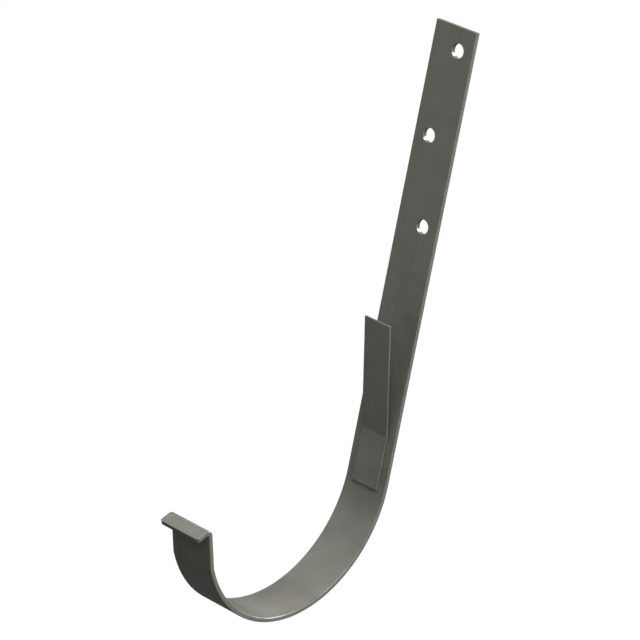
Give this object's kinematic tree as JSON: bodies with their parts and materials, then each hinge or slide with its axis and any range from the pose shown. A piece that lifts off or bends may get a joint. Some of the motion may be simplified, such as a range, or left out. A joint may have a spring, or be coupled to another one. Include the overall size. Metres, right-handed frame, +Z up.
{
  "type": "gutter bracket",
  "caption": "Strap bracket for a half-round gutter: leaning shank with staggered screw holes, round hook with a folded front lip, and a thin retaining tongue lapped on its inside.",
  "frame": {"origin": "centre of the half-round gutter seat, halfway across the strip", "axes": "+Z up, +X towards the wall or roof that the shank is fixed to, Y along the gutter, across the strip"},
  "size_m": [0.1864, 0.0256, 0.2658],
  "materials": {
    "graphite_coat": "satin graphite powder coat"
  },
  "bodies": {
    "root": {"strap": "graphite_coat", "tongue": "graphite_coat"}
  },
  "joints": []
}
